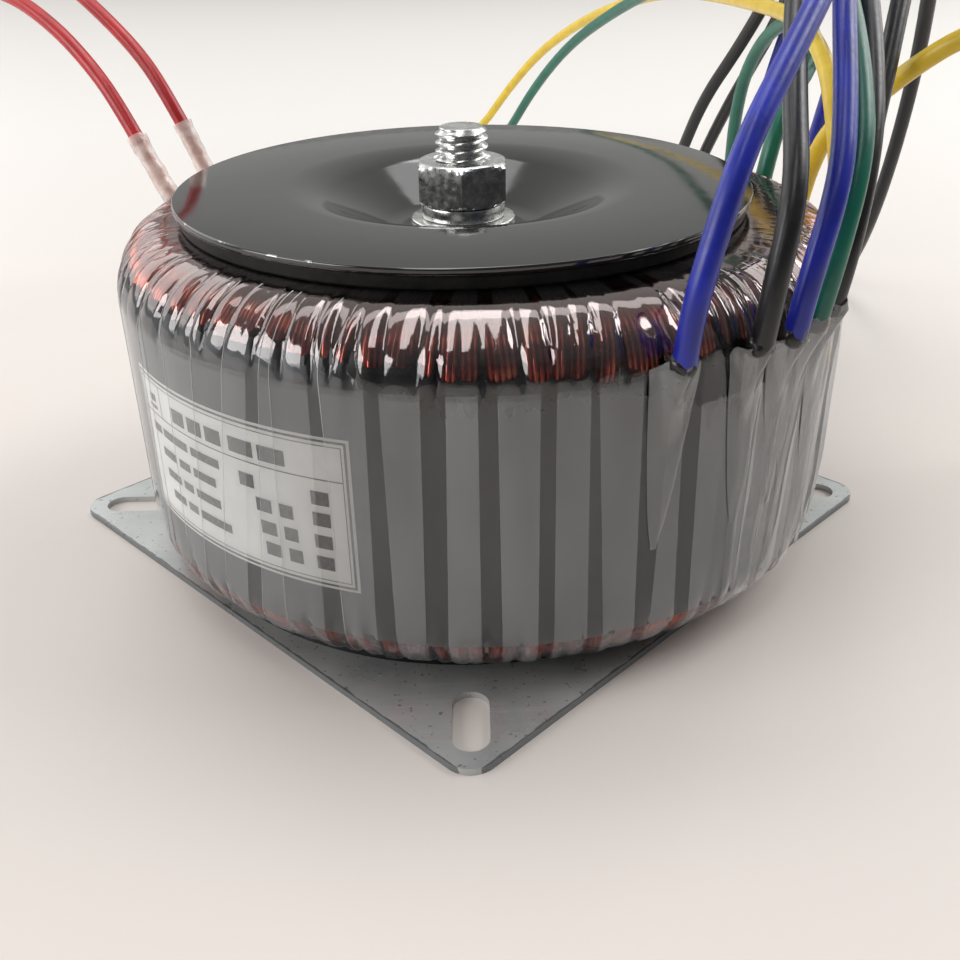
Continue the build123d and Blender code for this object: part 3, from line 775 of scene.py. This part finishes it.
def clear_film(name, veil_strength, veil_floor=0.0, crinkle=0.05):
    """Clear film: mostly see-through, mirror-like at a slant, with a pale veil; high on the shoulder its gloss is
    tinted pink, a painted reflection of the copper.
    """
    material, tree, shader, place = mottled(name, 0.3, (0.78, 0.80, 0.81), (0.86, 0.88, 0.89), Roughness=0.6)
    veil = tree.nodes.new("ShaderNodeAttribute")
    veil.attribute_name = "veil"
    cloud = shades(tree, grain(tree, object_place(tree, (1, 1, 0.3)), 0.12, 5.0), [(0.3, 0.75), (0.7, 1.15)])
    haze = reckon(tree, "MULTIPLY_ADD", veil.outputs["Fac"], veil_strength, veil_floor)
    haze = reckon(tree, "MULTIPLY", haze, cloud)
    clear = tree.nodes.new("ShaderNodeBsdfTransparent")
    gloss = tree.nodes.new("ShaderNodeBsdfGlossy")
    gloss.inputs["Roughness"].default_value = 0.07
    relief = tree.nodes.new("ShaderNodeBump")
    relief.inputs["Strength"].default_value = 0.6
    relief.inputs["Distance"].default_value = crinkle * mm
    tree.links.new(grain(tree, place, 0.28, 4.0, 0.6), relief.inputs["Height"])
    tree.links.new(relief.outputs["Normal"], gloss.inputs["Normal"])
    slant = tree.nodes.new("ShaderNodeFresnel")
    layers = tree.nodes.new("ShaderNodeAttribute")
    layers.attribute_name = "bare"
    tree.links.new(reckon(tree, "MULTIPLY_ADD", layers.outputs["Fac"], 0.85, 1.55), slant.inputs["IOR"])
    # High on the shoulder the gloss is tinted pink: a painted reflection of the copper under the film.
    tree.links.new(
        blend_colours(tree, layers.outputs["Fac"], (0.96, 0.97, 0.98), (1.0, 0.87, 0.85)), gloss.inputs["Color"]
    )
    hazed = mix_shaders(tree, haze, clear.outputs[0], shader.outputs[0])
    glazed = mix_shaders(tree, slant.outputs[0], hazed, gloss.outputs[0])
    tree.links.new(glazed, tree.nodes["Material Output"].inputs["Surface"])
    return material


add_piece("film_skin", film_shape, clear_film("clear_film", 0.18), "film", "film_wrap", crease=60)

# Edges of the film's turns: thin pale lines down the wall, leaning to the right as they fall.
# Their pale veil is a painted highlight, standing for cut edges that catch the light.
film_edges = bpy.data.curves.new("film_edges", "CURVE")
film_edges.dimensions = "3D"
film_edges.bevel_depth = 0.045 * mm
film_edges.bevel_resolution = 0
edge_rows = [row for row, (radius, height) in enumerate(film_profile) if radius > 45 and row < film_rows - 4]
for top, foot, veil in strips[:-1]:
    if -103 < top < -62 or veil < 0.65 or (top > -62 and chance.random() < 0.4):
        continue
    spline = film_edges.splines.new("POLY")
    spline.points.add(len(edge_rows) - 1)
    for control, row in zip(spline.points, edge_rows):
        radius, height = film_profile[row]
        bearing = strip_bearing(top, foot, height)
        control.co = (*on_wall(bearing, height, radius + film_bulge(bearing, height) + 0.03), 1)
edges_thing = bpy.data.objects.new("film_edges", film_edges)
bpy.context.scene.collection.objects.link(edges_thing)
add_piece("film_edges", drawn_shape(edges_thing), clear_film("film_edge", 0.0, 0.75), "film")

# Pleats: where the leads come out, the film is gathered and folded, and its folds
# run down the wall to the left.
# Each entry: top bearing, foot bearing, top height, foot height, width, how proud.
pleats = [
    (-53.4, -53.8, 46.5, 10.0, 2.6, 0.4), (-47.0, -50.0, 46.0, 9.0, 5.0, 0.7),
    (-40.5, -45.4, 47.0, 9.0, 3.2, 0.9), (-33.0, -38.0, 46.0, 9.0, 6.0, 0.9),
    (-26.0, -32.5, 47.0, 9.0, 3.6, 1.1), (-17.0, -24.0, 46.5, 9.0, 6.4, 1.0),
    (-8.5, -14.0, 46.5, 10.0, 4.2, 1.0), (-1.0, -5.0, 47.0, 12.0, 5.2, 1.0),
    (8.0, 5.0, 47.0, 12.0, 3.6, 0.9), (16.0, 14.0, 46.5, 14.0, 5.0, 0.8), (26.0, 25.0, 46.5, 16.0, 4.6, 0.7),
]
pleat_columns = 12
pleat_rows = 24
shape = bmesh.new()
veil_layer = shape.faces.layers.float.new("veil")
for number, (top, foot, high, low, width, proud) in enumerate(pleats):
    sheet = bmesh.ops.create_grid(shape, x_segments=pleat_columns, y_segments=pleat_rows, size=0.5)
    for vertex in sheet["verts"]:
        across = vertex.co.x + 0.5
        up = vertex.co.y + 0.5
        height = low + (high - low) * up
        wander = noise.noise(Vector((number * 3.7, up * 2.6, 0.0)))
        bearing = foot + (top - foot) * up + 1.6 * wander * (1 - abs(2 * up - 1))
        spread = degrees(width / ring_radius) * (0.55 + 0.6 * up)
        bearing += spread * (across - 0.5)
        uneven = 1 + 0.4 * noise.noise(Vector((number * 5.1, up * 3.0, 0)))
        fold = across ** 1.6 * min(1.0, (1 - across) * 7) * uneven
        fade = min(1.0, up * 4, (1 - up) * 7)
        vertex.co = on_wall(bearing, height, ring_radius + 0.02 + proud * 0.8 * fold * fade)
    for face in {face for vertex in sheet["verts"] for face in vertex.link_faces}:
        face[veil_layer] = 0.5 + 0.5 * chance.random()
bmesh.ops.recalc_face_normals(shape, faces=shape.faces)
add_piece("film_pleats", shape, clear_film("gathered_film", 0.22, crinkle=0.10), "film", crease=50)

# Feet of the leads: each comes out of the winding where the film is cut open, through a black blob.
# The blob stands for the dark opening round the lead, and its black is painted shade.
film_leads = [points for lead_name, points in lead_routes.items() if "red" not in lead_name]
shape = bmesh.new()
for number, points in enumerate(film_leads):
    foot = Vector(points[0])
    inward = (Vector((ring_offset, 0, foot.z)) - foot).normalized()
    blob = bmesh.ops.create_icosphere(shape, subdivisions=3, radius=1.0)
    for vertex in blob["verts"]:
        rough = 1 + 0.22 * noise.noise(vertex.co * 1.7 + Vector((number * 6.1, 0, 0)))
        spot = Vector((vertex.co.x * 1.85, vertex.co.y * 1.85, vertex.co.z * 1.7)) * rough
        vertex.co = (foot + inward * 0.3 + Vector((0, 0, 0.1)) + spot) * mm
bmesh.ops.recalc_face_normals(shape, faces=shape.faces)
add_piece("lead_foot_shades", shape, black_tape_and_shade, "pad_rubber", crease=80)

# Flaps: the film rides over the foot of each lead and clings to it, and is torn
# off above it.
flap_columns = 18
flap_rows = 22
flap_low = 22.0
shape = bmesh.new()
veil_layer = shape.faces.layers.float.new("veil")
for number, points in enumerate(film_leads):
    foot_x, foot_y, foot_z = points[0]
    next_x, next_y, next_z = points[1]
    middle_bearing = degrees(atan2(foot_y, foot_x - ring_offset))
    rise_bearing = degrees(atan2(next_y, next_x - ring_offset))
    sheet = bmesh.ops.create_grid(shape, x_segments=flap_columns, y_segments=flap_rows, size=0.5)
    for vertex in sheet["verts"]:
        across = vertex.co.x * 2
        up = vertex.co.y + 0.5
        torn = noise.noise(Vector((number * 4.7, across * 2.3, 0.0)))
        top = foot_z + 1.6 + 1.5 * torn - 2.4 * abs(across) ** 1.5
        height = flap_low + (top - flap_low) * up
        above = max(0.0, height - foot_z) / (next_z - foot_z)
        centre = middle_bearing + (rise_bearing - middle_bearing) * above + 1.5 * (1 - up) * (number % 3 - 1)
        near = exp(-(across * 1.6) ** 2)
        reach = held((height - foot_z + 13.0) / 13.0) ** 2.2
        rough = 0.3 * noise.noise(Vector((number * 9.1, across * 3.0, height * 0.22)))
        bearing = centre + across * degrees(3.6 / ring_radius) * max(0.03, up) ** 0.6
        vertex.co = over_shoulder(bearing, height, -0.12 - (3.7 * near + rough) * reach)
    for face in {face for vertex in sheet["verts"] for face in vertex.link_faces}:
        face[veil_layer] = 0.5
bmesh.ops.recalc_face_normals(shape, faces=shape.faces)
add_piece("film_flaps", shape, clear_film("clinging_film", 0.34, crinkle=0.12), "film", crease=50)


# Pads: discs of black rubber between the ring and the steel above and below it.
# Only their dark edges show.
rubber, rubber_tree, rubber_shader, rubber_place = mottled(
    "black_rubber", 0.5, (0.006, 0.006, 0.006), (0.016, 0.016, 0.015), 5.0, Roughness=0.45, Specular_IOR_Level=0.2
)
raise_surface(rubber_tree, rubber_shader, grain(rubber_tree, rubber_place, 1.5, 4.0), 0.05)
paint_nodes(rubber, "upper_pad", "lower_pad")


# Clamp plate: a disc of sheet steel with a pressed dish, sprayed in gloss black. At the left front
# its top rim shows bare grey metal as a thin bright line in places: partly wear, partly a painted highlight.
def revolved(profile, steps, part_turn=tau):
    """A closed profile of radius and height, turned about the upright axis."""
    shape = bmesh.new()
    corners = [shape.verts.new(Vector((radius, 0, height)) * mm) for radius, height in profile]
    sides = [shape.edges.new((start, end)) for start, end in zip(corners, corners[1:] + corners[:1])]
    bmesh.ops.spin(
        shape, geom=corners + sides, cent=(0, 0, 0), axis=(0, 0, 1), angle=part_turn, steps=steps,
        use_merge=part_turn == tau,
    )
    bmesh.ops.remove_doubles(shape, verts=shape.verts, dist=0.0005 * mm)
    bmesh.ops.recalc_face_normals(shape, faces=shape.faces)
    return shape


def round_ring(shape, radius, height, offset, segments):
    """Rounds the circular edge at a radius and height."""
    near = 0.02 * mm
    on_ring = {
        corner for corner in shape.verts
        if abs(hypot(corner.co.x, corner.co.y) - radius * mm) < near and abs(corner.co.z - height * mm) < near
    }
    chosen = [edge for edge in shape.edges if on_ring.issuperset(edge.verts)]
    bmesh.ops.bevel(
        shape, geom=chosen, offset=offset * mm, segments=segments, profile=0.5, affect="EDGES", material=-1
    )


clamp_radius = 43.3
clamp_top = 56.8
clamp_floor = 50.0
clamp_sheet = 1.0
dish_radius = 23.7
dish_floor_radius = 10.8
clamp_hole = 4.5
shape = revolved([
    (clamp_hole, clamp_floor), (dish_floor_radius, clamp_floor), (dish_radius, clamp_top),
    (clamp_radius, clamp_top), (clamp_radius, clamp_top - clamp_sheet), (dish_radius, clamp_top - clamp_sheet),
    (dish_floor_radius, clamp_floor - clamp_sheet), (clamp_hole, clamp_floor - clamp_sheet),
], 160)
round_ring(shape, dish_radius, clamp_top, 3.4, 10)
round_ring(shape, dish_floor_radius, clamp_floor, 1.6, 6)
round_ring(shape, clamp_radius, clamp_top, 0.28, 3)
round_ring(shape, clamp_radius, clamp_top - clamp_sheet, 0.2, 2)

gloss_black, black_tree, black_shader = new_finish("gloss_black_paint")
black_place = object_place(black_tree)
black_x, black_y, black_z = axes_of(black_tree, black_place)
from_axis = reckon(
    black_tree,
    "SQRT",
    reckon(black_tree, "MULTIPLY_ADD", black_x, black_x, reckon(black_tree, "MULTIPLY", black_y, black_y)),
)
rim = reckon(black_tree, "GREATER_THAN", from_axis, clamp_radius - 0.2)
worn = reckon(black_tree, "GREATER_THAN", grain(black_tree, black_place, 0.16, 6.0), 0.55)
left_front = reckon(black_tree, "LESS_THAN", reckon(black_tree, "ADD", black_x, black_y), -1.25 * clamp_radius)
near_top = reckon(black_tree, "GREATER_THAN", black_z, clamp_top - 0.22)
# Bare grey metal on the top rim at the left front, broken up by wear: partly wear, partly a painted highlight.
rim_wear_and_highlight = reckon(black_tree, "MULTIPLY", reckon(black_tree, "MULTIPLY", rim, near_top), left_front)
rim_wear_and_highlight = reckon(black_tree, "MULTIPLY", rim_wear_and_highlight, reckon(black_tree, "MULTIPLY", worn, 0.7))
paint = shades(black_tree, grain(black_tree, black_place, 0.08, 6.0), [(0.3, 0.006), (0.7, 0.010)])
painted = blend_colours(black_tree, rim_wear_and_highlight, paint, (0.55, 0.55, 0.54))
black_tree.links.new(painted, black_shader.inputs["Base Color"])
black_tree.links.new(rim_wear_and_highlight, black_shader.inputs["Metallic"])
black_tree.links.new(
    shades(black_tree, grain(black_tree, black_place, 0.5, 6.0), [(0.3, 0.07), (0.75, 0.13)]),
    black_shader.inputs["Roughness"],
)
black_shader.inputs["IOR"].default_value = 1.75
raise_surface(black_tree, black_shader, grain(black_tree, black_place, 0.10, 2.0), 0.12, 0.35)
add_piece("clamp_plate_black", shape, gloss_black, "black_paint", "clamp_plate", crease=50)


# Bolt, nut and washers: zinc-plated M8 hardware. The bolt's thread stands a few
# turns above the nut.
zinc, zinc_tree, zinc_shader, zinc_place = mottled(
    "bright_zinc", 0.45, (0.50, 0.51, 0.50), (0.78, 0.78, 0.76), 5.0, Metallic=1.0
)
zinc_tree.links.new(
    shades(zinc_tree, grain(zinc_tree, zinc_place, 0.9, 5.0), [(0.3, 0.16), (0.75, 0.34)]),
    zinc_shader.inputs["Roughness"],
)
raise_surface(zinc_tree, zinc_shader, grain(zinc_tree, zinc_place, 1.2, 4.0), 0.06, 0.5)

thread_radius = 4.0
thread_depth = 0.72
thread_pitch = 1.25
bolt_top = 64.8
thread_start = 44.0
thread_rows = 150
tip_radius = 3.15
tip_slope = 1.1
hex_flats = 13.0
head_low = 0.9
head_high = 6.2
shape = bmesh.new()
profile = [(0.02, bolt_top - 0.25), (2.6, bolt_top - 0.05), (3.1, bolt_top)]
for row in range(thread_rows + 1):
    profile.append((thread_radius, bolt_top - 0.05 - (bolt_top - thread_start) * row / thread_rows))
profile += [(thread_radius, head_high), (0.02, head_high)]
corners = [shape.verts.new(Vector((radius, 0, height)) * mm) for radius, height in profile]
sides = [shape.edges.new((start, end)) for start, end in zip(corners, corners[1:])]
bmesh.ops.spin(
    shape, geom=corners + sides, cent=(0, 0, 0), axis=(0, 0, 1), angle=tau, steps=64, use_merge=True
)
for vertex in shape.verts:
    radius = hypot(vertex.co.x, vertex.co.y) / mm
    height = vertex.co.z / mm
    if radius > 3.9 and height > thread_start:
        bearing = atan2(vertex.co.y, vertex.co.x)
        phase = (height / thread_pitch - bearing / tau) % 1.0
        groove = thread_depth * held(1.35 * abs(2 * phase - 1) - 0.18)
        reach = min(thread_radius - groove, tip_radius + (bolt_top - height) * tip_slope)
        vertex.co.x *= reach / radius
        vertex.co.y *= reach / radius
bmesh.ops.remove_doubles(shape, verts=shape.verts, dist=0.0005 * mm)
bmesh.ops.recalc_face_normals(shape, faces=shape.faces)


def hexagonal(profile, flats):
    """A turned blank cut to a hexagon, with a corner to the front."""
    blank = revolved(profile, 144)
    for vertex in blank.verts:
        radius = hypot(vertex.co.x, vertex.co.y) / mm
        if radius > flats / 2 - 0.9:
            turn = (atan2(vertex.co.y, vertex.co.x) + pi / 2) % (pi / 3)
            reach = min(radius, flats / 2 / cos(turn - pi / 6))
            vertex.co.x *= reach / radius
            vertex.co.y *= reach / radius
    return blank


head = hexagonal([
    (0.1, head_low), (5.9, head_low), (6.2, head_low + 0.05), (6.6, head_low + 0.3), (7.0, head_low + 0.55),
    (7.5, head_low + 0.95), (7.55, head_low + 1.3), (7.55, head_high), (0.1, head_high),
], hex_flats)
head_mesh = bpy.data.meshes.new("head")
head.to_mesh(head_mesh)
head.free()
shape.from_mesh(head_mesh)
bpy.data.meshes.remove(head_mesh)
add_piece("threaded_bolt", shape, zinc, "zinc_bolt", "centre_bolt", crease=45)

nut_low = 53.6
nut_high = 60.1
shape = hexagonal([
    (3.9, nut_low), (5.9, nut_low), (6.2, nut_low + 0.06), (6.6, nut_low + 0.26), (7.0, nut_low + 0.5),
    (7.5, nut_low + 0.85), (7.55, nut_low + 1.2), (7.55, nut_high - 1.2), (7.5, nut_high - 0.85),
    (7.0, nut_high - 0.5), (6.6, nut_high - 0.26), (6.2, nut_high - 0.06), (5.9, nut_high), (4.5, nut_high),
    (3.9, nut_high - 0.5),
], hex_flats)
nut_zinc = zinc.copy()
nut_zinc.name = "nut_zinc"
add_piece("hexagon_nut", shape, nut_zinc, "zinc_bolt", "hex_nut", crease=25)

washer_hole = 4.3
washer_radius = 8.1
washer_top = 51.5
shape = revolved([
    (washer_hole, clamp_floor), (washer_hole, washer_top),
    (washer_radius, washer_top), (washer_radius, clamp_floor),
], 96)
round_ring(shape, washer_radius, washer_top, 0.35, 3)
add_piece("plain_washer", shape, zinc, "zinc_bolt", "flat_washer")

split_radius = 6.4
split_turn = radians(346)
shape = revolved([
    (washer_hole, washer_top), (washer_hole, nut_low), (split_radius, nut_low), (split_radius, washer_top),
], 90, split_turn)
ends = [edge for edge in shape.edges if edge.is_boundary]
bmesh.ops.holes_fill(shape, edges=ends, sides=4)
round_ring(shape, split_radius, nut_low, 0.3, 2)
round_ring(shape, split_radius, washer_top, 0.3, 2)
bmesh.ops.recalc_face_normals(shape, faces=shape.faces)
bmesh.ops.rotate(shape, cent=(0, 0, 0), matrix=Matrix.Rotation(radians(27), 3, "Z"), verts=shape.verts)
add_piece("split_washer", shape, zinc, "zinc_bolt", "spring_washer")

# Base plate: zinc-plated sheet steel, scratched, with darker specks and an edge
# worn by handling.
plate_zinc, plate_tree, plate_shader = new_finish("scratched_zinc_sheet")
plate_place = object_place(plate_tree)
plate_axes = axes_of(plate_tree, plate_place)
from_middle = [reckon(plate_tree, "ABSOLUTE", plate_axes[axis]) for axis in (0, 1)]
corner_reach = reckon(plate_tree, "ADD", *from_middle)
wander = reckon(plate_tree, "MULTIPLY", grain(plate_tree, plate_place, 0.5, 5.0), 1.1)
near_edge = reckon(plate_tree, "GREATER_THAN", reckon(plate_tree, "ADD", corner_reach, wander), 69.1)
streaks = grain(plate_tree, object_place(plate_tree, (0.08, 1.6, 1)), 0.9, 5.0)
mottle = grain(plate_tree, plate_place, 0.09, 6.0)
specks = reckon(plate_tree, "GREATER_THAN", grain(plate_tree, plate_place, 1.1, 3.0), 0.66)
sheet_tint = shades(plate_tree, mottle, [(0.3, (0.46, 0.48, 0.475)), (0.7, (0.60, 0.62, 0.61))])
sheet_tint = blend_colours(
    plate_tree, shades(plate_tree, streaks, [(0.56, 0.0), (0.70, 0.5)]), sheet_tint, (0.62, 0.64, 0.63)
)
for marks, weight, colour in ((specks, 0.6, (0.10, 0.11, 0.12)), (near_edge, 0.8, (0.12, 0.13, 0.14))):
    sheet_tint = blend_colours(plate_tree, reckon(plate_tree, "MULTIPLY", marks, weight), sheet_tint, colour)
plate_tree.links.new(sheet_tint, plate_shader.inputs["Base Color"])
plate_shader.inputs["Metallic"].default_value = 0.55
plate_tree.links.new(shades(plate_tree, mottle, [(0.3, 0.24), (0.7, 0.38)]), plate_shader.inputs["Roughness"])
raise_surface(plate_tree, plate_shader, streaks, 0.03)
paint_nodes(plate_zinc, "base_plate")

# Table: a plain pale surface on which the base plate stands; its colour is painted a little lighter
# towards the back, as painted light.
table_shape = bmesh.new()
bmesh.ops.create_grid(table_shape, x_segments=2, y_segments=2, size=4.0)
table_mesh = bpy.data.meshes.new("table")
table_shape.to_mesh(table_mesh)
table_shape.free()
table = bpy.data.objects.new("table", table_mesh)
bpy.context.scene.collection.objects.link(table)
table_white, table_tree, table_shader = new_finish("pale_table")
table_axes = axes_of(table_tree, object_place(table_tree))
# The table's colour grows lighter towards the back: painted light.
table_light_share = reckon(table_tree, "MULTIPLY_ADD", table_axes[1], 1 / 500, 0.3)
table_tones = [(0.0, (0.66, 0.60, 0.56)), (0.45, (0.69, 0.64, 0.60)), (1.0, (0.74, 0.71, 0.68))]
table_tree.links.new(shades(table_tree, table_light_share, table_tones), table_shader.inputs["Base Color"])
table_shader.inputs["Roughness"].default_value = 0.55
table_mesh.materials.append(table_white)

# Light: a pale room, brightest above and behind the ring, with two lamps over it, a
# window at each side and a pale panel at each back corner.
world = bpy.data.worlds.new("pale_room")
bpy.context.scene.world = world
world.use_nodes = True
sky = world.node_tree
sky_place = sky.nodes.new("ShaderNodeTexCoord").outputs["Generated"]
sky_axes = axes_of(sky, sky_place)
upwards = reckon(sky, "MULTIPLY_ADD", sky_axes[2], 0.35, 0.35)
towards = reckon(sky, "MULTIPLY_ADD", sky_axes[1], 0.42, upwards)
sky_tones = [
    (0.1, (0.20, 0.20, 0.21)), (0.45, (0.34, 0.34, 0.35)), (0.72, (0.65, 0.65, 0.64)), (0.92, (1.25, 1.25, 1.21)),
]
sky.links.new(shades(sky, towards, sky_tones), sky.nodes["Background"].inputs["Color"])
sky.nodes["Background"].inputs["Strength"].default_value = 0.5


def soft_lamp(name, place, target, width, depth, power):
    """A broad soft lamp that faces a target."""
    lamp_data = bpy.data.lights.new(name, "AREA")
    lamp_data.shape = "RECTANGLE"
    lamp_data.size = width
    lamp_data.size_y = depth
    lamp_data.energy = power
    lamp = bpy.data.objects.new(name, lamp_data)
    bpy.context.scene.collection.objects.link(lamp)
    heading = (Vector(target) - Vector(place)).to_track_quat("-Z", "Y")
    lamp.matrix_world = Matrix.Translation(place) @ heading.to_matrix().to_4x4()


soft_lamp("near_ceiling_lamp", (-0.1, 0.02, 1.15), (0, 0, 0.03), 1.7, 0.30, 4.8)
soft_lamp("far_ceiling_lamp", (-0.1, 0.52, 1.15), (0, 0.1, 0.03), 1.7, 0.36, 3.4)
soft_lamp("left_window", (-1.0, -0.42, 0.46), (0, 0, 0.03), 0.9, 0.6, 7.8)
soft_lamp("right_window", (0.85, 0.2, 0.92), (0, 0, 0.03), 0.75, 0.45, 6.0)
soft_lamp("back_left_panel", (-0.95, 0.75, 0.52), (0, 0, 0.04), 1.2, 0.75, 4.2)
soft_lamp("back_right_panel", (1.0, 0.75, 0.52), (0, 0, 0.04), 1.2, 0.75, 5.0)
